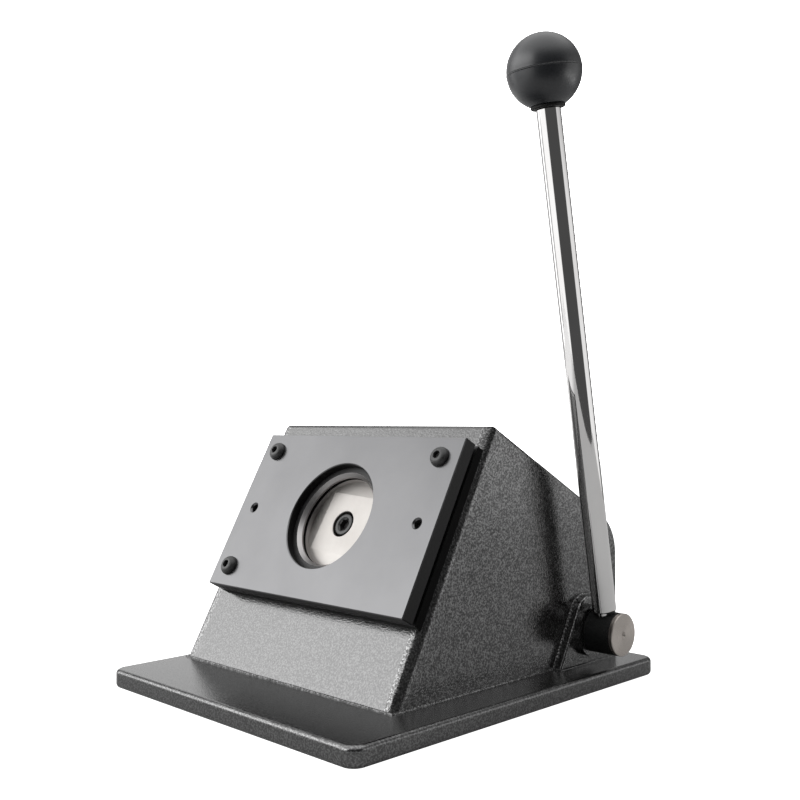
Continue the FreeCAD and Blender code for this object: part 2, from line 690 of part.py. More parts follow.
def make_guide_sleeve():
    """Flange on the back of the sloping face, a cup the punch draws back into, and a long neck."""
    face = "-shell"
    flange = "(-shell - flange_thick)"
    step = "(cup_floor - cup_floor_thick)"
    body = turned("guide_sleeve", [("cup_room_r", face), ("flange_r", face), ("flange_r", flange),
                                   ("cup_r", flange), ("cup_r", step), ("neck_r", step),
                                   ("neck_r", "neck_end"), ("sleeve_bore_r", "neck_end"),
                                   ("sleeve_bore_r", "cup_floor"), ("cup_room_r", "cup_floor")], PUNCH_FRAME)
    spots = [("flange_screw_r * cos(%d)" % turn, "flange_screw_r * sin(%d)" % turn)
             for turn in EIGHTH_TURNS]
    drill(body, "XY", spots, "sleeve_hole_r")
    return body


def make_sleeve_bush():
    return turned("sleeve_bush", ring_outline("ram_r + running_gap", "sleeve_bore_r", "neck_end", "cup_floor"),
                  PUNCH_FRAME)


def make_sleeve_screws():
    seat = "(-shell - flange_thick)"
    crown = seat + " - sleeve_head_tall"
    pattern = turned("sleeve_screw", [("0", "sleeve_screw_tip"), ("sleeve_screw_r", "sleeve_screw_tip"),
                                      ("sleeve_screw_r", seat), ("sleeve_head_r", seat),
                                      ("sleeve_head_r", crown), ("0", crown)])
    sketch = new_sketch(pattern, "XY", crown)
    draw_outline(sketch, hex_outline("sleeve_hex"))
    pocket(pattern, sketch, "sleeve_socket", reverse=True)
    return group("sleeve_screws", pattern, flange_screw_places())


def make_ram():
    clip_front = "(collar_face - collar_thick)"
    clip_back = "(collar_face - collar_thick - clip_thick)"
    bolt_end = "(%s - bolt_len - 2)" % BOLT_SEAT
    stem_end = RAM_END + " + pad_stem"
    return turned("ram", [("bolt_r", PUNCH_BACK), ("ram_r", PUNCH_BACK), ("ram_r", clip_front),
                          ("clip_seat_r", clip_front), ("clip_seat_r", clip_back), ("ram_r", clip_back),
                          ("ram_r", RAM_END), ("pad_stem_r", RAM_END), ("pad_stem_r", stem_end),
                          ("0", stem_end), ("0", bolt_end), ("bolt_r", bolt_end)], PUNCH_FRAME)


def make_spring_collar():
    return turned("spring_collar", ring_outline("ram_r", "collar_r", "collar_face - collar_thick",
                                                "collar_face"), PUNCH_FRAME)


def open_ring(name, inner, outer, low, high, gap, place):
    """A retaining ring with its gap on the +X side."""
    body = turned(name, ring_outline(inner, outer, low, high), place)
    sketch = new_sketch(body, "XY", low)
    draw_outline(sketch, box_outline("0", outer + " + 1", "-%s / 2" % gap, "%s / 2" % gap))
    pocket(body, sketch)
    return body


def make_collar_ring():
    back = "(collar_face - collar_thick - clip_thick)"
    front = "(collar_face - collar_thick)"
    return open_ring("collar_ring", "clip_seat_r", "clip_r", back, front, "ring_gap", PUNCH_FRAME)


def make_cam_pad():
    face = RAM_END + " - pad_thick"
    stem_end = RAM_END + " + pad_stem"
    return turned("cam_pad", [("0", face), ("pad_r", face), ("pad_r", RAM_END), ("pad_stem_r", RAM_END),
                              ("pad_stem_r", stem_end), ("0", stem_end)], PUNCH_FRAME)


def make_return_spring():
    """Round wire on a helix between the sleeve's neck and the collar."""
    low = size("collar_face") + size("wire_r")
    high = size("neck_end") - size("wire_r")
    helix = doc.addObject("Part::Helix", "spring_path")
    helix.setExpression("Radius", bound("coil_r"))
    helix.setExpression("Height", bound("neck_end - collar_face - 2 * wire_r"))
    helix.setExpression("Pitch", bound("(neck_end - collar_face - 2 * wire_r) / coils"))
    wire = doc.addObject("Part::Circle", "spring_wire")
    wire.setExpression("Radius", bound("wire_r"))
    doc.recompute()
    lead = math.degrees(math.atan2((high - low) / size("coils"), 2 * math.pi * size("coil_r")))
    wire.Placement = Placement(Vector(size("coil_r"), 0, 0), Rotation(Vector(1, 0, 0), 90 + lead))
    sweep = doc.addObject("Part::Sweep", "spring_sweep")
    sweep.Sections = [wire]
    sweep.Spine = (helix, ["Edge1"])
    sweep.Solid = True
    sweep.Frenet = True
    doc.recompute()
    sweep.Placement = along(PUNCH_FRAME, 0, 0, low)
    return sweep


# --- shaft and lever ---------------------------------------------------------------------------

def cam_centre():
    return size("head_x")


def make_drive_shaft():
    """Shaft through both walls; its bright head closes the lever's hub."""
    groove_in = "(left_x - side_gap - washer_thick)"
    groove_out = "(left_x - side_gap - washer_thick - shaft_clip_thick)"
    end = "(hub_end + head_thick)"
    body = turned("drive_shaft", [("0", "shaft_left"), ("shaft_r - shaft_chamfer", "shaft_left"),
                                  ("shaft_r", "shaft_left + shaft_chamfer"), ("shaft_r", groove_out),
                                  ("shaft_seat_r", groove_out), ("shaft_seat_r", groove_in),
                                  ("shaft_r", groove_in), ("shaft_r", "hub_end"), ("hub_r", "hub_end"),
                                  ("hub_r", end + " - head_chamfer"), ("hub_r - head_chamfer", end),
                                  ("dimple_r", end), ("0", end + " - dimple_deep")], SHAFT_FRAME)
    sketch = new_sketch(body, "XY", "head_x - cam_thick / 2")
    draw_outline(sketch, box_outline("-key_w / 2", "key_w / 2", "shaft_r - key_sunk", "shaft_r + 2"))
    pocket(body, sketch, "cam_thick", reverse=True)
    return cut("drive_shaft", body,
               [rod_cutter("shaft_thread", along(LEVER_FRAME, 0, 0, size("rod_foot")), "rod_neck_r",
                           "rod_foot", "hub_r")])


def make_lever_hub():
    body = turned("lever_hub", ring_outline("shaft_r", "hub_r", "right_x + bracket_thick + boss_proud + hub_gap",
                                            "hub_end"), SHAFT_FRAME)
    return cut("lever_hub", body, [rod_cutter("hub_thread", LEVER_FRAME, "rod_neck_r", "0", "hub_r + 5")])


def make_lever_rod():
    top = "(lever_len - ball_flat - insert_flange)"
    return turned("lever_rod", [("0", "rod_foot"), ("rod_neck_r", "rod_foot"), ("rod_neck_r", "rod_start"),
                                ("rod_r - rod_chamfer", "rod_start"), ("rod_r", "rod_start + rod_chamfer"),
                                ("rod_r", top), ("stud_r", top), ("stud_r", top + " + stud_len"),
                                ("0", top + " + stud_len")], LEVER_FRAME)


def make_knob_insert():
    top = "(lever_len - ball_flat)"
    return turned("knob_insert", [("stud_r", top + " - insert_flange"),
                                  ("insert_flange_r", top + " - insert_flange"), ("insert_flange_r", top),
                                  ("insert_r", top), ("insert_r", top + " + insert_deep"),
                                  ("stud_r", top + " + insert_deep")], LEVER_FRAME)


def make_ball_knob():
    ball = doc.addObject("Part::Sphere", "ball")
    ball.setExpression("Radius", bound("ball_r"))
    centre = along(LEVER_FRAME, 0, 0, size("lever_len"))
    low = size("lever_len") - size("ball_flat")
    doc.recompute()
    ball.Placement = centre
    flat = rod_cutter("ball_flat_cut", along(LEVER_FRAME, 0, 0, low - 10), "ball_r", "-10", "0")
    bore = rod_cutter("ball_bore", along(LEVER_FRAME, 0, 0, low - 1), "insert_r", "-1", "insert_deep")
    return cut("ball_knob", ball, [flat, bore])


def make_thrust_washer():
    return turned("thrust_washer", ring_outline("shaft_r", "washer_r", "left_x - side_gap - washer_thick",
                                                "left_x - side_gap"), SHAFT_FRAME)


def make_shaft_clip():
    outer = "(left_x - side_gap - washer_thick - shaft_clip_thick)"
    inner = "(left_x - side_gap - washer_thick)"
    return open_ring("shaft_clip", "shaft_seat_r", "shaft_clip_r", outer, inner, "ring_gap", SHAFT_FRAME)


def make_bush_right():
    return turned("bush_right", ring_outline("shaft_r + running_gap", "bush_r", "right_x - wall",
                                             "right_x + bracket_thick + boss_proud"), SHAFT_FRAME)


def make_bush_left():
    inside = "(left_x + wall)"
    return turned("bush_left", [("shaft_r + running_gap", "left_x"), ("bush_r", "left_x"), ("bush_r", inside),
                                ("bush_flange_r", inside), ("bush_flange_r", inside + " + bush_flange"),
                                ("shaft_r + running_gap", inside + " + bush_flange")], SHAFT_FRAME)


def make_cam():
    """Involute lobe: each radian of the shaft moves the flat pad by the base circle's radius."""
    base = size("cam_base_r")
    boss = size("cam_boss_r")
    contact_roll = size("cam_lift") / base

    def flank(roll):
        turn = roll - contact_roll
        up = base * (math.cos(turn) + roll * math.sin(turn))
        out = base * (roll * math.cos(turn) - math.sin(turn))
        return UP_SLOPE * up + OUT_OF_SLOPE * out

    start_roll = math.sqrt((boss / base) ** 2 - 1)
    tip_roll = size("cam_tip_roll")
    steps = 12
    involute = Part.BSplineCurve()
    involute.interpolate([flank(start_roll + (tip_roll - start_roll) * i / steps) for i in range(steps + 1)])
    start = flank(start_roll)
    tip = flank(tip_roll)
    heel = (UP_SLOPE * 0.35 - OUT_OF_SLOPE).normalize() * boss
    back = (-UP_SLOPE - OUT_OF_SLOPE * 0.1).normalize() * boss
    nose = tip - OUT_OF_SLOPE * size("cam_nose") - UP_SLOPE * 3
    crown = tip - OUT_OF_SLOPE * 3.6 + UP_SLOPE * 0.2
    edges = [involute.toShape(), Part.Arc(tip, crown, nose).toShape(), Part.LineSegment(nose, heel).toShape(),
             Part.Arc(heel, back, start).toShape()]
    lobe = Part.Face(Part.Wire(edges)).extrude(Vector(size("cam_thick"), 0, 0))
    bore = Part.makeCylinder(size("shaft_r"), size("cam_thick"), Vector(), Vector(1, 0, 0))
    half = size("key_w") / 2
    keyway = Part.makeBox(size("cam_thick"), size("key_w"), 2 * half, Vector(0, size("shaft_r")
                          - size("key_sunk"), -half))
    cam = doc.addObject("Part::Feature", "cam_lobe")
    cam.Shape = lobe.cut(bore).cut(keyway)
    cam.Placement = Placement(Vector(cam_centre() - size("cam_thick") / 2, size("pivot_y"), size("pivot_z")),
                              Rotation())
    return cam


def make_cam_key():
    key = doc.addObject("Part::Box", "key")
    key.setExpression("Length", bound("cam_thick"))
    key.setExpression("Width", bound("key_w"))
    key.setExpression("Height", bound("key_w"))
    doc.recompute()
    corner = Vector(cam_centre() - size("cam_thick") / 2,
                    size("pivot_y") + size("shaft_r") - size("key_sunk"), size("pivot_z") - size("key_w") / 2)
    key.Placement = Placement(corner, Rotation())
    return key


# --- the assembly ------------------------------------------------------------------------------

finish("base_plate", make_base_plate())
for hand in ("left", "right"):
    finish("foot_rail_" + hand, make_foot_rail(hand))
    finish("side_plate_" + hand, make_side_plate(hand))
finish("base_screws", make_base_screws())
finish("housing_shell", make_housing_shell())
finish("bearing_bracket", make_bearing_bracket())
finish("bush_right", make_bush_right())
finish("bush_left", make_bush_left())
finish("guide_plate", make_guide_plate())
finish("guide_ring", make_guide_ring())
finish("slot_spacers", make_slot_spacers())
finish("window_plate", make_window_plate())
finish("die_ring", make_die_ring())
finish("head_screws", make_head_screws())
finish("dowel_pins", make_dowel_pins())
finish("guide_sleeve", make_guide_sleeve())
finish("sleeve_bush", make_sleeve_bush())
finish("sleeve_screws", make_sleeve_screws())
finish("punch", make_punch())
finish("punch_screw", make_punch_screw())
finish("ram", make_ram())
finish("spring_collar", make_spring_collar())
finish("collar_ring", make_collar_ring())
finish("cam_pad", make_cam_pad())
finish("return_spring", make_return_spring())
finish("drive_shaft", make_drive_shaft())
finish("cam", make_cam())
finish("cam_key", make_cam_key())
finish("lever_hub", make_lever_hub())
finish("lever_rod", make_lever_rod())
finish("knob_insert", make_knob_insert())
finish("ball_knob", make_ball_knob())
finish("thrust_washer", make_thrust_washer())
finish("shaft_clip", make_shaft_clip())

doc.recompute()
for thing in doc.Objects:
    if "Invalid" in thing.State or "Error" in thing.State:
        raise RuntimeError(thing.Label + " failed to recompute")
os.makedirs("parts", exist_ok=True)
for node in nodes:
    if node.Shape.isNull() or not node.Shape.isValid():
        raise RuntimeError(node.Label + " has no valid shape")
    node.Shape.exportStep("parts/%s.step" % node.Label)
    print("%-18s %2d solids %10.0f mm3" % (node.Label, len(node.Shape.Solids), node.Shape.Volume))
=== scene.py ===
"""Looks of the stand-type badge paper punch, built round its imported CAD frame.

Metres throughout, in the frame's own axes: origin under the centre of the base plate, +X to the
lever's side, +Y to the back, +Z up.
"""
import json
import math

import bmesh
import bpy
from mathutils import Matrix, Vector


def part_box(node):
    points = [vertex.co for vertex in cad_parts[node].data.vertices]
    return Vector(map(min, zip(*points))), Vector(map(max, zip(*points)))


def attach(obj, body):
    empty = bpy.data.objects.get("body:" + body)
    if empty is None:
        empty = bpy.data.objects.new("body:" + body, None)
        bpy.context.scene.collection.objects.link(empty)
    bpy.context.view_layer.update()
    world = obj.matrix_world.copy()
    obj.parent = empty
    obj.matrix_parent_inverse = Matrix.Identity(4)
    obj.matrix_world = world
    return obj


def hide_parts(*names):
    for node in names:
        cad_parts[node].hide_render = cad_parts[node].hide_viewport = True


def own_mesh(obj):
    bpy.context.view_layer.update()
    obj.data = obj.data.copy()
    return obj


MM = 0.001

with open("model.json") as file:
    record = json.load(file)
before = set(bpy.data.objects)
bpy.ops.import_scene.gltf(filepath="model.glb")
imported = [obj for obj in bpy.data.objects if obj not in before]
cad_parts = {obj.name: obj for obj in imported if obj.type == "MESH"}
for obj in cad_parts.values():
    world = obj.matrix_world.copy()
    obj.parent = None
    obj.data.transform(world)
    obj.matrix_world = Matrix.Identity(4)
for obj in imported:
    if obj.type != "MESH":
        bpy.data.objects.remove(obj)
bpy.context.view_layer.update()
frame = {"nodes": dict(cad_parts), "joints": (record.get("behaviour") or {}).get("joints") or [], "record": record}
nodes = frame["nodes"]
joints = {joint["name"]: joint for joint in frame["joints"]}

# --- places taken from the frame ----------------------------------------------------------------

RAM_AXIS = Vector(joints["ram_slide"]["axis"]).normalized()
PIVOT = Vector(joints["lever_swing"]["pos_m"])
ACROSS = Vector((1, 0, 0))
UP_SLOPE = RAM_AXIS.cross(ACROSS)


def centre(node):
    low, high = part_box(node)
    return (low + high) / 2


def place(origin, x_axis, y_axis, z_axis):
    """A matrix from three axes and an origin."""
    rows = [(x_axis[i], y_axis[i], z_axis[i], origin[i]) for i in range(3)]
    return Matrix([*rows, (0, 0, 0, 1)])


BALL_LOW, BALL_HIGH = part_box("ball_knob")
BALL_R = (BALL_HIGH.x - BALL_LOW.x) / 2
BALL_CENTRE = Vector((BALL_LOW.x + BALL_R, BALL_LOW.y + BALL_R, BALL_HIGH.z - BALL_R))
LEVER_FOOT = Vector((BALL_CENTRE.x, PIVOT.y, PIVOT.z))
LEAN = math.atan2(LEVER_FOOT.y - BALL_CENTRE.y, BALL_CENTRE.z - PIVOT.z)
LEVER_AXIS = Vector((0, -math.sin(LEAN), math.cos(LEAN)))
LEVER_PLACE = place(LEVER_FOOT, ACROSS, LEVER_AXIS.cross(ACROSS), LEVER_AXIS)


# --- camera --------------------------------------------------------------------------------------

CAMERA_AT = Vector((0.53219, -0.52292, 0.18741))
CAMERA_AZIMUTH = math.radians(44.953)
CAMERA_TILT = math.radians(1.1984)
CAMERA_LENS = 45.9935


def make_camera():
    """A still camera at the chosen place, level but for a slight tilt upward."""
    data = bpy.data.cameras.new("camera")
    data.lens = CAMERA_LENS
    data.sensor_width = 36
    data.clip_start = 0.02
    data.clip_end = 50
    camera = bpy.data.objects.new("camera", data)
    bpy.context.scene.collection.objects.link(camera)
    look = Vector((-math.sin(CAMERA_AZIMUTH) * math.cos(CAMERA_TILT),
                   math.cos(CAMERA_AZIMUTH) * math.cos(CAMERA_TILT), math.sin(CAMERA_TILT)))
    camera.location = CAMERA_AT
    camera.rotation_euler = look.to_track_quat("-Z", "Y").to_euler()
    bpy.context.scene.camera = camera


# --- node graphs ---------------------------------------------------------------------------------

class Graph:
    """Short calls for building a node tree."""

    def __init__(self, tree):
        self.tree = tree

    @classmethod
    def of_material(cls, name):
        material = bpy.data.materials.new(name)
        material.use_nodes = True
        graph = cls(material.node_tree)
        graph.material = material
        graph.shader = graph.tree.nodes["Principled BSDF"]
        graph.where = graph.add("ShaderNodeTexCoord").outputs["Object"]
        return graph

    def add(self, kind, **settings):
        node = self.tree.nodes.new(kind)
        for key, value in settings.items():
            setattr(node, key, value)
        return node

    def feed(self, socket, value):
        if isinstance(value, bpy.types.NodeSocket):
            self.tree.links.new(value, socket)
        else:
            socket.default_value = value

    def set(self, **values):
        """Shader sockets by name, with _ for a space, to a number, a colour or an output."""
        for key, value in values.items():
            socket = self.shader.inputs[key.replace("_", " ")]
            if socket.type == "RGBA" and not isinstance(value, bpy.types.NodeSocket):
                value = (*value, 1)
            self.feed(socket, value)

    def noise(self, scale, detail=2.0, rough=0.5):
        node = self.add("ShaderNodeTexNoise")
        self.feed(node.inputs["Vector"], self.where)
        node.inputs["Scale"].default_value = scale
        node.inputs["Detail"].default_value = detail
        node.inputs["Roughness"].default_value = rough
        return node.outputs["Fac"]

    def ramp(self, factor, *stops):
        """Each stop is (position, brightness) or (position, colour)."""
        node = self.add("ShaderNodeValToRGB")
        self.feed(node.inputs["Fac"], factor)
        marks = node.color_ramp.elements
        while len(marks) < len(stops):
            marks.new(0.5)
        for mark, (position, colour) in zip(marks, stops):
            mark.position = position
            if not isinstance(colour, tuple):
                colour = (colour, colour, colour)
            mark.color = (*colour, 1)
        return node.outputs["Color"]

    def sums(self, kind, a, b):
        node = self.add("ShaderNodeMath", operation=kind)
        self.feed(node.inputs[0], a)
        self.feed(node.inputs[1], b)
        return node.outputs["Value"]

    def bump(self, height, depth, strength=1.0, under=None):
        """Depth is how far, in metres, the height's 0 lies below its 1."""
        node = self.add("ShaderNodeBump")
        node.inputs["Strength"].default_value = strength
        node.inputs["Distance"].default_value = depth
        self.feed(node.inputs["Height"], height)
        if under is not None:
            self.feed(node.inputs["Normal"], under)
        return node.outputs["Normal"]


# bumps per metre, and how deep in metres
GRAIN_SCALE = 860
GRAIN_DEPTH = 0.00011
FINE_SCALE = 1900
FINE_DEPTH = 0.00003
# how far full vein darkens the hollows and lightens the tops
VEIN_DARK = 0.48
VEIN_LIGHT = 0.85


def hammer_paint(name, shade, vein):
    """Glossy dark powder coat over fine round bumps, with silver vein lying on their tops."""
    g = Graph.of_material(name)
    grain = g.noise(GRAIN_SCALE, 1.2, 0.55)
    fine = g.noise(FINE_SCALE, 1.0)
    hollow = shade * (1 - VEIN_DARK * vein)
    top = shade * (1 + VEIN_LIGHT * vein)
    g.set(Base_Color=g.ramp(grain, (0.38, hollow), (0.50, shade), (0.62, top)),
          Roughness=g.ramp(grain, (0.35, 0.13), (0.7, 0.20)),
          Normal=g.bump(fine, FINE_DEPTH, 0.8, g.bump(grain, GRAIN_DEPTH, 1.0)),
          Metallic=0.92)
    return g.material


MICRO_SCALE = 2600
MICRO_DEPTH = 0.00001
LIMIT_FADE = 0.07


def face_and_edge(name, face, edge, face_rough, edge_rough, edge_ior,
                  warm=0.0, flip=False, limit=0.55):
    """Metal where the surface faces along the punch axis and a dark coat on the sides.

    Flip puts the metal on the sides instead. Limit is the cosine at which one takes over.
    """
    g = Graph.of_material(name)
    fine = g.noise(MICRO_SCALE, 2)
    broad = g.noise(16, 4, 0.6)
    normal = g.add("ShaderNodeNewGeometry").outputs["Normal"]
    facing = g.add("ShaderNodeVectorMath", operation="DOT_PRODUCT")
    g.feed(facing.inputs[0], normal)
    facing.inputs[1].default_value = RAM_AXIS
    square = facing.outputs["Value"]
    if flip:
        square = g.sums("ABSOLUTE", square, 0.0)
    metal = g.ramp(square, (limit, float(flip)), (limit + LIMIT_FADE, float(not flip)))
    low = (face * (0.93 + warm), face * 0.93, face * (0.95 - warm))
    high = (face * (1.06 + warm), face * 1.06, face * (1.08 - warm))
    shade = g.add("ShaderNodeMix", data_type="RGBA")
    g.feed(shade.inputs[0], metal)
    sockets = [socket for socket in shade.inputs if socket.type == "RGBA"]
    sockets[0].default_value = (edge, edge, edge, 1)
    g.feed(sockets[1], g.ramp(broad, (0.3, low), (0.7, high)))
    colour = [socket for socket in shade.outputs if socket.type == "RGBA"][0]
    rough = g.add("ShaderNodeMapRange")
    g.feed(rough.inputs["Value"], metal)
    rough.inputs["To Min"].default_value = edge_rough
    rough.inputs["To Max"].default_value = face_rough
    g.set(Base_Color=colour, Roughness=rough.outputs["Result"], Metallic=metal,
          Normal=g.bump(fine, MICRO_DEPTH, 0.5), IOR=edge_ior)
    return g.material


def satin_black(name, shade, rough, ior):
    """Fine-grained black finish of the lever's hub."""
    g = Graph.of_material(name)
    fine = g.noise(MICRO_SCALE, 2)
    broad = g.noise(22, 3)
    g.set(Base_Color=g.ramp(broad, (0.3, shade * 0.85), (0.7, shade * 1.2)),
          Roughness=g.ramp(broad, (0.3, rough - 0.03), (0.7, rough + 0.03)),
          Normal=g.bump(fine, MICRO_DEPTH, 0.5), Metallic=0.0, IOR=ior)
    return g.material


def black_oxide(name, low, high):
    g = Graph.of_material(name)
    fine = g.noise(1800, 3)
    g.set(Base_Color=g.ramp(fine, (0.3, low), (0.7, high)),
          Roughness=g.ramp(fine, (0.3, 0.36), (0.7, 0.46)),
          Normal=g.bump(fine, 0.00002, 0.6), Metallic=0.0)
    return g.material


def steel(name, shade, rough, warm=0.0):
    """Bare steel with fine marks; warm adds red and takes off blue."""
    g = Graph.of_material(name)
    marks = g.noise(2400, 3, 0.6)
    cloud = g.noise(45, 3)
    low = (shade * (0.9 + warm), shade * 0.9, shade * (0.9 - warm))
    high = (shade * (1.05 + warm), shade * 1.05, shade * (1.05 - warm))
    g.set(Base_Color=g.ramp(cloud, (0.3, low), (0.7, high)),
          Roughness=g.ramp(marks, (0.3, rough * 0.85), (0.7, rough * 1.15)),
          Normal=g.bump(marks, 0.000004, 0.6), Metallic=1.0)
    return g.material


def chrome(name):
    """Mirror plating over a bar that isn't quite straight."""
    g = Graph.of_material(name)
    cloud = g.noise(30, 3)
    g.set(Base_Color=g.ramp(cloud, (0.3, (0.64, 0.63, 0.625)), (0.7, (0.68, 0.675, 0.67))),
          Roughness=g.ramp(g.noise(300, 2), (0.3, 0.04), (0.7, 0.07)),
          Normal=g.bump(g.noise(60, 2), 0.00002, 0.25), Metallic=1.0)
    return g.material


def turned_face(name):
    """Lathe-turned steel: fine rings about the shaft, which fan the light into an hourglass."""
    g = Graph.of_material(name)
    middle = g.add("ShaderNodeMapping")
    g.feed(middle.inputs["Vector"], g.where)
    middle.inputs["Location"].default_value = (0, -PIVOT.y, -PIVOT.z)
    middle.inputs["Scale"].default_value = (0, 1, 1)
    far = g.add("ShaderNodeVectorMath", operation="LENGTH")
    g.feed(far.inputs[0], middle.outputs["Vector"])
    rings = g.add("ShaderNodeTexNoise", noise_dimensions="1D")
    g.feed(rings.inputs["W"], far.outputs["Value"])
    rings.inputs["Scale"].default_value = 5200
    rings.inputs["Detail"].default_value = 2
    cut = rings.outputs["Fac"]
    tangent = g.add("ShaderNodeTangent", direction_type="RADIAL", axis="X")
    g.set(Base_Color=g.ramp(cut, (0.3, (0.40, 0.365, 0.335)), (0.7, (0.48, 0.445, 0.415))),
          Roughness=g.ramp(cut, (0.3, 0.26), (0.7, 0.36)),
          Normal=g.bump(cut, 0.000012, 0.4),
          Tangent=tangent.outputs["Tangent"], Metallic=1.0, Anisotropic=0.75)
    return g.material


def black_plastic(name):
    g = Graph.of_material(name)
    fine = g.noise(1500, 3)
    broad = g.noise(40, 2)
    g.set(Base_Color=g.ramp(broad, (0.3, (0.005, 0.006, 0.008)), (0.7, (0.008, 0.009, 0.012))),
          Roughness=g.ramp(broad, (0.3, 0.34), (0.7, 0.42)),
          Normal=g.bump(fine, 0.000008, 0.4), Metallic=0.0, IOR=1.6)
    return g.material


def bronze(name):
    g = Graph.of_material(name)
    g.set(Base_Color=g.ramp(g.noise(60, 3), (0.3, (0.42, 0.26, 0.11)), (0.7, (0.58, 0.38, 0.18))),
          Roughness=g.ramp(g.noise(900, 2), (0.3, 0.28), (0.7, 0.42)), Metallic=1.0)
    return g.material


PAINT = hammer_paint("silver_vein_paint", 0.120, 0.95)
BASE_PAINT = hammer_paint("silver_vein_paint_on_base", 0.120, 0.6)
# the sheet's copy is darker, painted shade that holds down the light on the front slope; its vein is also smoother
SHEET_PAINT_WITH_PAINTED_SHADE = hammer_paint("silver_vein_paint_on_sheet_painted_shade", 0.110, 0.27)
PLATE = face_and_edge("satin_black_plate", 0.124, 0.003, 0.28, 0.50, 1.33)
GUIDE = face_and_edge("blacked_guide_plate", 0.06, 0.002, 0.45, 0.55, 1.12)
OXIDE = black_oxide("black_oxide", 0.012, 0.026)
GROUND = steel("ground_steel", 0.52, 0.28)
BORED = face_and_edge("bored_ring_steel", 0.33, 0.012, 0.36, 0.5, 1.4,
                      warm=0.03, flip=True, limit=0.90)
LINER = face_and_edge("liner_ring_steel", 0.33, 0.004, 0.36, 0.6, 1.2,
                      warm=0.03, flip=True, limit=0.50)
POLISHED = steel("polished_steel", 0.31, 0.42, 0.045)
MACHINED = steel("machined_steel", 0.40, 0.38)
OILED = steel("oiled_spring_steel", 0.20, 0.34)
CHROME = chrome("polished_chrome")
TURNED = turned_face("turned_steel")
HUB = satin_black("matte_black_hub", 0.004, 0.55, 1.3)
KNOB = black_plastic("black_knob_plastic")
BRONZE = bronze("bearing_bronze")

SLOT_LOOKS = {
    "base_paint": BASE_PAINT, "housing_paint": PAINT, "plate_black": PLATE, "oxide_black": OXIDE,
    "ground_steel": GROUND, "polished_steel": POLISHED, "machined_steel": MACHINED,
    "spring_steel": OILED, "bronze": BRONZE, "turned_steel": TURNED, "hub_black": HUB,
    "rod_chrome": CHROME, "knob_black": KNOB,
}


SLOT_OF = {part["node"]: part["material_slot"] for part in frame["record"]["subparts"]}


def dress_nodes():
    """Every CAD node takes its slot's material."""
    for name, thing in nodes.items():
        thing.data.materials.clear()
        thing.data.materials.append(SLOT_LOOKS[SLOT_OF[name]])


# --- making pieces -------------------------------------------------------------------------------

# sides of a turned shape, by how large it shows
LARGE_TURNS = 128
MIDDLE_TURNS = 96
SMALL_TURNS = 72
CREASE = 32


def rounded(points, radii, steps=6):
    """A 2-D outline with some of its corners, by index, rounded to a radius."""
    out = []
    for i, point in enumerate(points):
        if i not in radii:
            out.append(point)
            continue
        here = Vector(point)
        before = (Vector(points[i - 1]) - here).normalized()
        after = (Vector(points[(i + 1) % len(points)]) - here).normalized()
        half = before.angle(after) / 2
        middle = here + (before + after).normalized() * (radii[i] / math.sin(half))
        start = here + before * (radii[i] / math.tan(half)) - middle
        finish = here + after * (radii[i] / math.tan(half)) - middle
        sweep = start.angle(finish)
        for step in range(steps + 1):
            part = step / steps
            blend = start * math.sin((1 - part) * sweep) + finish * math.sin(part * sweep)
            out.append(tuple(middle + blend / math.sin(sweep)))
    return out


class Shape:
    """Vertices and faces gathered before they become a piece."""

    def __init__(self):
        self.verts = []
        self.faces = []

    def ring(self, spot, radius, height, turns, six_sided):
        """One ring of a turned shape, in millimetres; a six-sided ring's radius is to its flats."""
        first = len(self.verts)
        for i in range(turns if radius > 0 else 1):
            turn = 2 * math.pi * i / turns
            reach = radius
            if six_sided:
                reach = radius / math.cos(turn % (math.pi / 3) - math.pi / 6)
            corner = Vector((reach * math.cos(turn) * MM, reach * math.sin(turn) * MM, height * MM))
            self.verts.append(spot @ corner)
        return range(first, len(self.verts))

    def bridge(self, low, high):
        """Faces between two rings, either of which may be a single point."""
        count = max(len(low), len(high))
        for i in range(count):
            after = (i + 1) % count
            if len(low) == 1:
                self.faces.append((low[0], high[i], high[after]))
            elif len(high) == 1:
                self.faces.append((low[i], low[after], high[0]))
            else:
                self.faces.append((low[i], low[after], high[after], high[i]))

    def turned(self, spot, outline, turns):
        """An outline of (radius, height) turned about Z; a third item makes a six-sided ring."""
        rings = [self.ring(spot, item[0], item[1], turns, len(item) > 2) for item in outline]
        for low, high in zip(rings, rings[1:]):
            self.bridge(low, high)
        if len(rings[0]) > 1:
            self.bridge(rings[-1], rings[0])

    def tube(self, points, radii, sides, closed=False):
        """A round tube along points, in metres, with its own radius at each."""
        count = len(points)
        rings = []
        across = None
        for i, point in enumerate(points):
            before = points[i - 1] if closed or i else point
            after = points[(i + 1) % count] if closed or i + 1 < count else point
            ahead = (after - before).normalized()
            if across is None:
                across = ahead.orthogonal()
            across = (across - ahead * across.dot(ahead)).normalized()
            other = ahead.cross(across)
            first = len(self.verts)
            for k in range(sides):
                turn = 2 * math.pi * k / sides
                out = across * math.cos(turn) + other * math.sin(turn)
                self.verts.append(point + out * radii[i])
            rings.append(range(first, first + sides))
        for low, high in zip(rings, rings[1:]):
            self.bridge(low, high)
        if closed:
            self.bridge(rings[-1], rings[0])
        else:
            self.faces.append(tuple(rings[0]))
            self.faces.append(tuple(rings[-1]))

    def piece(self, name, body, slot):
        data = bpy.data.meshes.new(name)
        data.from_pydata(self.verts, [], self.faces)
        work = bmesh.new()
        work.from_mesh(data)
        bmesh.ops.recalc_face_normals(work, faces=work.faces)
        work.to_mesh(data)
        work.free()
        for polygon in data.polygons:
            polygon.use_smooth = True
        data.set_sharp_from_angle(angle=math.radians(CREASE))
        data.materials.append(SLOT_LOOKS[slot])
        made = bpy.data.objects.new(name, data)
        bpy.context.scene.collection.objects.link(made)
        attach(made, body)
        return made


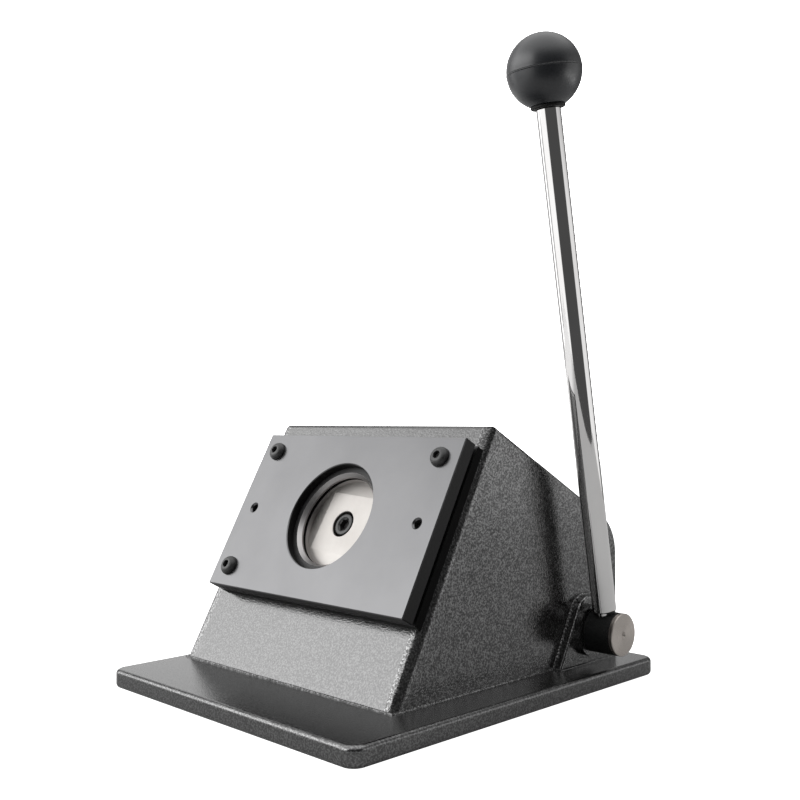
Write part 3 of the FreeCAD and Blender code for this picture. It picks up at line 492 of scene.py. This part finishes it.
def stand_in(name, node, body, shape):
    """A finer piece in a CAD node's place, with that node's slot."""
    made = shape.piece(name, body, SLOT_OF[node])
    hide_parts(node)
    return made


# --- knob and lever ------------------------------------------------------------------------------

BALL_PLACE = place(BALL_CENTRE, ACROSS, LEVER_AXIS.cross(ACROSS), LEVER_AXIS)
BALL_FLAT = 22.5
RIDGE_PROUD = 0.16
# each: height, and how far out from the ball
RIDGE = ((-0.75, 0.0), (-0.50, -RIDGE_PROUD), (-0.12, RIDGE_PROUD),
         (0.12, RIDGE_PROUD), (0.50, -RIDGE_PROUD), (0.75, 0.0))
RIDGE_EDGE = 0.85
LOWER_STEPS = 22
UPPER_STEPS = 30
# where the ball's flat underside rolls over: in radians before the flat, and in from there
ROLL_TURN = 0.02
ROLL_IN = 0.5
COLLAR_TALL = 2.2
COLLAR_R = 11.8
# roundings are radii by the corner's place in its outline
COLLAR_ROUNDS = {1: 1.0, 2: 0.8}
BORE_R = 8.0
BORE_TOP = 1.5
STUD_R = 5.0


def make_ball():
    """Moulded ball with the low ridge its mould leaves round the middle."""
    radius = BALL_R / MM - RIDGE_PROUD
    outline = [(0, BORE_TOP), (BORE_R, BORE_TOP), (BORE_R, -BALL_FLAT)]
    start = -math.asin(BALL_FLAT / radius) + ROLL_TURN
    edge = RIDGE_EDGE / radius
    lower = [start + (-edge - start) * i / LOWER_STEPS for i in range(LOWER_STEPS + 1)]
    upper = [edge + (math.pi / 2 - edge) * i / UPPER_STEPS for i in range(UPPER_STEPS)]
    outline.append((radius * math.cos(start) - ROLL_IN, -BALL_FLAT))
    outline += [(radius * math.cos(turn), radius * math.sin(turn)) for turn in lower]
    outline += [(radius + proud, height) for height, proud in RIDGE]
    outline += [(radius * math.cos(turn), radius * math.sin(turn)) for turn in upper]
    outline.append((0, radius))
    shape = Shape()
    shape.turned(BALL_PLACE, outline, LARGE_TURNS)
    stand_in("ball_shell", "ball_knob", "lever", shape)


def make_collar():
    """Thin rounded collar under the ball, with the sleeve that is moulded into it."""
    low = -BALL_FLAT - COLLAR_TALL
    corners = [(STUD_R, low), (COLLAR_R, low), (COLLAR_R, -BALL_FLAT), (BORE_R, -BALL_FLAT),
               (BORE_R, BORE_TOP), (STUD_R, BORE_TOP)]
    outline = rounded(corners, COLLAR_ROUNDS)
    shape = Shape()
    shape.turned(BALL_PLACE, outline, MIDDLE_TURNS)
    stand_in("knob_collar", "knob_insert", "lever", shape)


ROD_R = 8.5
ROD_NECK_R = 6.0
ROD_FOOT = 3.0
ROD_START = 16.0
ROD_ROUNDS = {3: 1.4, 4: 0.5}
STUD_LONG = 20.0


def make_rod():
    """Polished rod: thin foot in the hub, rounded shoulder, thin top inside the ball."""
    reach = (BALL_CENTRE - LEVER_FOOT).length / MM
    top = reach - BALL_FLAT - COLLAR_TALL
    corners = [(0, ROD_FOOT), (ROD_NECK_R, ROD_FOOT), (ROD_NECK_R, ROD_START), (ROD_R, ROD_START),
               (ROD_R, top), (STUD_R, top), (STUD_R, top + STUD_LONG), (0, top + STUD_LONG)]
    outline = rounded(corners, ROD_ROUNDS)
    shape = Shape()
    shape.turned(LEVER_PLACE, outline, LARGE_TURNS)
    stand_in("polished_rod", "lever_rod", "lever", shape)


# --- punching head -------------------------------------------------------------------------------

PLATE_FRONT = 18.7
PLATE_THICK = 10.4
PUNCH_ORIGIN = centre("window_plate") - RAM_AXIS * ((PLATE_FRONT - PLATE_THICK / 2) * MM)
SCREW_SPOTS = ((-84.5, 47), (84.5, 47), (-84.5, -47))
SCREW_R = 4.0
SCREW_HEAD_R = 7.0
SCREW_HEAD_TALL = 4.5
SCREW_TAIL = -6.3
SCREW_FLATS = 2.5
SCREW_SOCKET = 3.0
SCREW_DRILL = 0.8
SCREW_TIP_CHAMFER = 0.6
SCREW_MOUTH_CHAMFER = 0.35
SCREW_MOUTH_DIP = 0.02
# the head's lower edge: how far in, how far up
SCREW_EDGE_IN = 0.25
SCREW_EDGE_UP = 0.2
SCREW_RIM = 0.7
SCREW_CROWN_R = 3.5
DOME_STEPS = 8
DOME_POWER = 1.15
# how far each screw happens to be turned, in degrees
SCREW_TURNS = (11, 37, 22)


def head_place(x, up, turn=0.0):
    """The punch frame moved across and up the slope, and turned about its own Z."""
    origin = PUNCH_ORIGIN + ACROSS * (x * MM) + UP_SLOPE * (up * MM)
    spot = place(origin, ACROSS, UP_SLOPE, RAM_AXIS)
    return spot @ Matrix.Rotation(math.radians(turn), 4, "Z")


def make_button_screws():
    """Three button-head screws: a rounded rim, a domed crown and a six-sided socket."""
    rise = SCREW_HEAD_TALL - SCREW_RIM
    dome = []
    for i in range(DOME_STEPS + 1):
        turn = math.pi / 2 * i / DOME_STEPS
        radius = SCREW_CROWN_R + (SCREW_HEAD_R - SCREW_CROWN_R) * math.cos(turn)
        dome.append((radius, PLATE_FRONT + SCREW_RIM + rise * math.sin(turn) ** DOME_POWER))
    top = PLATE_FRONT + SCREW_HEAD_TALL
    shank = [(0, SCREW_TAIL), (SCREW_R - SCREW_TIP_CHAMFER, SCREW_TAIL),
             (SCREW_R, SCREW_TAIL + SCREW_TIP_CHAMFER), (SCREW_R, PLATE_FRONT),
             (SCREW_HEAD_R - SCREW_EDGE_IN, PLATE_FRONT),
             (SCREW_HEAD_R, PLATE_FRONT + SCREW_EDGE_UP)]
    socket = [(SCREW_FLATS + SCREW_MOUTH_CHAMFER, top - SCREW_MOUTH_DIP),
              (SCREW_FLATS, top - SCREW_MOUTH_CHAMFER, "six"),
              (SCREW_FLATS, top - SCREW_SOCKET, "six"),
              (0, top - SCREW_SOCKET - SCREW_DRILL)]
    shape = Shape()
    for (x, up), turn in zip(SCREW_SPOTS, SCREW_TURNS):
        shape.turned(head_place(x, up, turn), shank + dome + socket, SMALL_TURNS)
    stand_in("button_screws", "head_screws", "frame", shape)


PUNCH_R = 33.3
PUNCH_FACE = 3.7
PUNCH_LONG = 20.0
PUNCH_FLAT = 22.0
PUNCH_SHEAR = 8.0
PUNCH_ROLL = -4.0
PUNCH_CREASE = 5
SEAT_R = 9.5
SEAT_DEEP = 10.6
SEAT_CHAMFER = 0.4
SCREW_BORE_R = 5.25


def make_punch():
    """Round punch with a square flat and four flanks ground back from it, all edges crisp."""
    spot = head_place(0, 0, PUNCH_ROLL)
    back = PUNCH_FACE - PUNCH_LONG
    seat = PUNCH_FACE - SEAT_DEEP
    outline = [(SCREW_BORE_R, back), (PUNCH_R, back), (PUNCH_R, PUNCH_FACE),
               (SEAT_R + SEAT_CHAMFER, PUNCH_FACE), (SEAT_R, PUNCH_FACE - SEAT_CHAMFER),
               (SEAT_R, seat), (SCREW_BORE_R, seat)]
    shape = Shape()
    shape.turned(spot, outline, LARGE_TURNS)
    made = stand_in("ground_punch", "punch", "ram_unit", shape)
    work = bmesh.new()
    work.from_mesh(made.data)
    lean = math.radians(PUNCH_SHEAR)
    for side in range(4):
        turn = Matrix.Rotation(side * math.pi / 2, 4, "Z")
        start = spot @ turn @ Vector((PUNCH_FLAT * MM, 0, PUNCH_FACE * MM))
        normal = (spot @ turn).to_3x3() @ Vector((math.sin(lean), 0, math.cos(lean)))
        everything = work.verts[:] + work.edges[:] + work.faces[:]
        sliced = bmesh.ops.bisect_plane(work, geom=everything, dist=1e-7, plane_co=start,
                                        plane_no=normal, clear_outer=True)
        rim = [item for item in sliced["geom_cut"] if isinstance(item, bmesh.types.BMEdge)]
        bmesh.ops.edgenet_fill(work, edges=rim)
    bmesh.ops.recalc_face_normals(work, faces=work.faces)
    for face in work.faces:
        face.smooth = True
    work.to_mesh(made.data)
    work.free()
    made.data.set_sharp_from_angle(angle=math.radians(PUNCH_CREASE))


BOLT_TOP = 3.1
BOLT_HEAD_R = 8.0
BOLT_HEAD_TALL = 10.0
BOLT_R = 5.0
BOLT_LONG = 35.0
BOLT_FLATS = 4.0
BOLT_SOCKET = 5.0
BOLT_DRILL = 1.2
BOLT_TURN = 8
BOLT_ROUNDS = {4: 0.9}
# the socket's chamfered mouth: its rim's distance out, then halfway out and down, then down
MOUTH_OUT = 1.5
MOUTH_HALFWAY = (0.75, 0.7)
MOUTH_DOWN = 1.0


def make_cap_screw():
    """Cap screw in the punch: rounded head edge and a chamfered six-sided socket."""
    seat = BOLT_TOP - BOLT_HEAD_TALL
    corners = [(0, seat - BOLT_LONG), (BOLT_R, seat - BOLT_LONG), (BOLT_R, seat),
               (BOLT_HEAD_R, seat), (BOLT_HEAD_R, BOLT_TOP), (BOLT_FLATS + MOUTH_OUT, BOLT_TOP)]
    out, down = MOUTH_HALFWAY
    socket = [(BOLT_FLATS + out, BOLT_TOP - down), (BOLT_FLATS, BOLT_TOP - MOUTH_DOWN, "six"),
              (BOLT_FLATS, BOLT_TOP - BOLT_SOCKET, "six"),
              (0, BOLT_TOP - BOLT_SOCKET - BOLT_DRILL)]
    outline = rounded(corners, BOLT_ROUNDS) + socket
    shape = Shape()
    shape.turned(head_place(0, 0, BOLT_TURN), outline, SMALL_TURNS)
    stand_in("cap_screw", "punch_screw", "ram_unit", shape)


NECK_END = -76.0
COLLAR_FACE = -124.0
COIL_R = 21.0
WIRE_R = 2.5
WIRE_SIDES = 14
COILS = 6
STEPS_A_COIL = 40


def make_spring():
    """Round wire between the sleeve's neck and the collar."""
    low = COLLAR_FACE + WIRE_R
    high = NECK_END - WIRE_R
    steps = COILS * STEPS_A_COIL
    points = []
    for i in range(steps + 1):
        turn = 2 * math.pi * COILS * i / steps
        height = low + (high - low) * i / steps
        out = ACROSS * math.cos(turn) + UP_SLOPE * math.sin(turn)
        points.append(PUNCH_ORIGIN + RAM_AXIS * (height * MM) + out * (COIL_R * MM))
    shape = Shape()
    shape.tube(points, [WIRE_R * MM] * len(points), WIRE_SIDES)
    spring = stand_in("return_coil", "return_spring", "frame", shape)
    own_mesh(spring)


# --- welds ---------------------------------------------------------------------------------------

FOOT_WELD_R = 1.2
BRACKET_WELD_R = 1.5
WELD_SIDES = 10
WELD_PITCH = 2.6
WELD_STEP = 0.65
# the bead's thin places, and how much a pass and the hand's unevenness add
BEAD_LOW = 0.80
BEAD_SWELL = 0.22
BEAD_DRIFT = 0.05
DRIFT_RATE = 210
# how far the passes stray from even spacing
STRAY = 0.35
STRAY_RATE = 90
BOSS_PROUD = 4.6
SHOULDER_BACK = 8.03
SHOULDER_R = 16
BRACKET_CORNER_R = 10
BRACKET_STEPS = 14


def weld(name, corners, closed, radius):
    """A painted bead with the ripples of its passes, half sunk in the corner that it fills."""
    runs = list(zip(corners, corners[1:] + corners[:1] if closed else corners[1:]))
    points = []
    radii = []
    travelled = 0.0
    for start, end in runs:
        length = (end - start).length
        steps = max(1, round(length / (WELD_STEP * MM)))
        for i in range(steps):
            way = travelled + length * i / steps
            phase = way / (WELD_PITCH * MM) + STRAY * math.sin(way * STRAY_RATE)
            swell = BEAD_SWELL * abs(math.sin(math.pi * phase))
            drift = BEAD_DRIFT * math.sin(way * DRIFT_RATE)
            points.append(start.lerp(end, i / steps))
            radii.append(radius * MM * (BEAD_LOW + swell + drift))
        travelled += length
    if not closed:
        points.append(corners[-1])
        radii.append(radius * MM)
    shape = Shape()
    shape.tube(points, radii, WELD_SIDES, closed)
    shape.piece(name, "frame", "housing_paint")


def make_welds():
    """One bead round the housing's foot and one round the bearing bracket."""
    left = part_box("side_plate_left")[0].x
    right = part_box("side_plate_right")[1].x
    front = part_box("housing_shell")[0].y
    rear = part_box("housing_shell")[1].y
    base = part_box("base_plate")[1].z
    low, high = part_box("bearing_bracket")
    outside = high.x - BOSS_PROUD * MM
    foot = [(left, front), (right, front), (right, low.y), (outside, low.y), (outside, high.y),
            (right, high.y), (right, rear), (left, rear)]
    weld("foot_weld", [Vector((x, y, base)) for x, y in foot], True, FOOT_WELD_R)
    shoulder = PIVOT.y - SHOULDER_BACK * MM
    corners = [(low.y / MM, base / MM), (shoulder / MM, high.z / MM),
               (high.y / MM, high.z / MM), (high.y / MM, base / MM)]
    outline = rounded(corners, {1: SHOULDER_R, 2: BRACKET_CORNER_R}, BRACKET_STEPS)
    bracket = [Vector((right, y * MM, z * MM)) for y, z in outline]
    weld("bracket_weld", bracket, False, BRACKET_WELD_R)


def make_pieces():
    make_ball()
    make_collar()
    make_rod()
    make_button_screws()
    make_punch()
    make_cap_screw()
    make_spring()
    make_welds()
    nodes["die_ring"].data.materials[0] = BORED
    nodes["guide_ring"].data.materials[0] = LINER
    nodes["guide_plate"].data.materials[0] = GUIDE
    nodes["housing_shell"].data.materials[0] = SHEET_PAINT_WITH_PAINTED_SHADE


# --- studio --------------------------------------------------------------------------------------

TABLE_EDGE = 0.6
TABLE_BACK = 4.0
TABLE_SIDE = 1.6
TABLE_DROP = 0.0002
# brightness of its own: as reflected in the part, and as the camera sees it
TABLE_GLOW = 0.03
TABLE_WHITE = 1.2
# each: metres to the camera's left, how pale; painted light, paler where the left softbox falls
TABLE_PAINTED_LIGHT = ((0.4, 0.42), (0.65, 0.85))
TOWARD_CAMERA = Vector((math.sin(CAMERA_AZIMUTH), -math.cos(CAMERA_AZIMUTH), 0))
CAMERA_RIGHT = Vector((math.cos(CAMERA_AZIMUTH), math.sin(CAMERA_AZIMUTH), 0))


def make_floor():
    """A pale table that ends between the object and the camera, with painted light to its left."""
    corners = []
    for near, side in ((-TABLE_BACK, -TABLE_SIDE), (TABLE_EDGE, -TABLE_SIDE),
                       (TABLE_EDGE, TABLE_SIDE), (-TABLE_BACK, TABLE_SIDE)):
        corners.append(TOWARD_CAMERA * near + CAMERA_RIGHT * side + Vector((0, 0, -TABLE_DROP)))
    data = bpy.data.meshes.new("floor")
    data.from_pydata(corners, [], [(0, 1, 2, 3)])
    floor = bpy.data.objects.new("floor", data)
    bpy.context.scene.collection.objects.link(floor)
    g = Graph.of_material("floor_paper")
    seen = g.add("ShaderNodeLightPath").outputs["Is Camera Ray"]
    shade = g.add("ShaderNodeMapRange")
    g.feed(shade.inputs["Value"], seen)
    shade.inputs["To Min"].default_value = TABLE_GLOW
    shade.inputs["To Max"].default_value = TABLE_WHITE
    # painted light: the table's colour grows paler towards the camera's left, where the left softbox falls
    painted_light_across = g.add("ShaderNodeVectorMath", operation="DOT_PRODUCT")
    g.feed(painted_light_across.inputs[0], g.where)
    painted_light_across.inputs[1].default_value = -CAMERA_RIGHT
    g.set(Base_Color=g.ramp(painted_light_across.outputs["Value"], *TABLE_PAINTED_LIGHT), Roughness=0.8,
          Specular_IOR_Level=0.0, Emission_Color=(1, 1, 1),
          Emission_Strength=shade.outputs["Result"])
    data.materials.append(g.material)


WORLD_TOP = 4.0
# brightness round the horizon, by degrees from the camera, plus towards its right
WALLS = ((-180, 0.25), (-152, 0.25), (-146, 0.5), (-126, 0.5), (-122, 2.8), (-115, 2.8),
         (-110, 0.6), (-46, 0.6), (-42, 0.09), (58, 0.09), (62, 0.3), (112, 0.3),
         (118, 0.25), (148, 0.25), (154, 0.25), (180, 0.25))
# how far the ceiling has taken over from the walls, by degrees above the horizon
CEILING_UP = ((-90, 0), (37, 0), (55, 1), (90, 1))
CEILING = 1.8
# each: brightness, its share by degrees round the horizon, its share by degrees above it
LEFT_BOX = (3.5, ((-180, 0), (-114, 0), (-108, 1), (-45, 1), (-41, 0), (180, 0)),
            ((-90, 0), (6, 0), (14, 1), (31, 1), (45, 0.15), (55, 0), (90, 0)))
LOW_PANEL = (0.85, ((-180, 0), (-99, 0), (-94, 1), (-45, 1), (-41, 0), (180, 0)),
             ((-90, 0), (-24, 0), (-15, 1), (8, 1), (14, 0), (90, 0)))
RIGHT_PANEL = (2.0, ((-180, 0), (60, 0), (64, 1), (110, 1), (116, 0), (180, 0)),
               ((-90, 0), (-26, 0), (-18, 2.6), (-12, 2.6), (-8, 0.5), (0, 0.42),
                (14, 0.40), (26, 0.1), (40, 0), (90, 0)))
BACKDROP = (0.75, ((-180, 1), (-152, 1), (-146, 0), (158, 0), (176, 0.8), (180, 1)),
            ((-90, 1), (28, 1), (40, 0), (90, 0)))
SOFTBOXES = (LEFT_BOX, LOW_PANEL, RIGHT_PANEL, BACKDROP)


def make_world():
    """White to the camera; the part is lit by a dim room with softboxes and a bright ceiling."""
    world = bpy.data.worlds.new("studio")
    bpy.context.scene.world = world
    world.use_nodes = True
    g = Graph(world.node_tree)
    background = world.node_tree.nodes["Background"]
    where = g.add("ShaderNodeTexCoord").outputs["Generated"]

    def along(direction):
        node = g.add("ShaderNodeVectorMath", operation="DOT_PRODUCT")
        g.feed(node.inputs[0], where)
        node.inputs[1].default_value = direction
        return node.outputs["Value"]

    bearing = g.sums("ARCTAN2", along(CAMERA_RIGHT), along(TOWARD_CAMERA))
    round_about = g.sums("ADD", g.sums("DIVIDE", bearing, 2 * math.pi), 0.5)
    rise = g.sums("ARCSINE", along((0, 0, 1)), 0.0)
    up_down = g.sums("ADD", g.sums("DIVIDE", rise, math.pi), 0.5)

    def by_angle(factor, whole, table, size):
        stops = [(0.5 + angle / whole, shade * size / WORLD_TOP) for angle, shade in table]
        return g.ramp(factor, *stops)

    lit = by_angle(round_about, 360, WALLS, 1.0)
    for bright, wide, tall in SOFTBOXES:
        across = by_angle(round_about, 360, wide, WORLD_TOP)
        upward = by_angle(up_down, 180, tall, bright)
        lit = g.sums("ADD", lit, g.sums("MULTIPLY", across, upward))
    over = by_angle(up_down, 180, CEILING_UP, WORLD_TOP)
    keep = g.sums("SUBTRACT", 1.0, over)
    ceiling = g.sums("MULTIPLY", over, CEILING / WORLD_TOP)
    sky = g.sums("ADD", g.sums("MULTIPLY", lit, keep), ceiling)
    seen = g.add("ShaderNodeLightPath").outputs["Is Camera Ray"]
    hidden = g.sums("MULTIPLY", sky, g.sums("SUBTRACT", 1.0, seen))
    g.feed(background.inputs["Color"], g.sums("ADD", hidden, seen))
    g.feed(background.inputs["Strength"], WORLD_TOP)


def make_studio():
    make_floor()
    make_world()
    bpy.context.scene.view_settings.view_transform = "Standard"


# --- run -----------------------------------------------------------------------------------------

make_camera()
dress_nodes()
make_pieces()
make_studio()
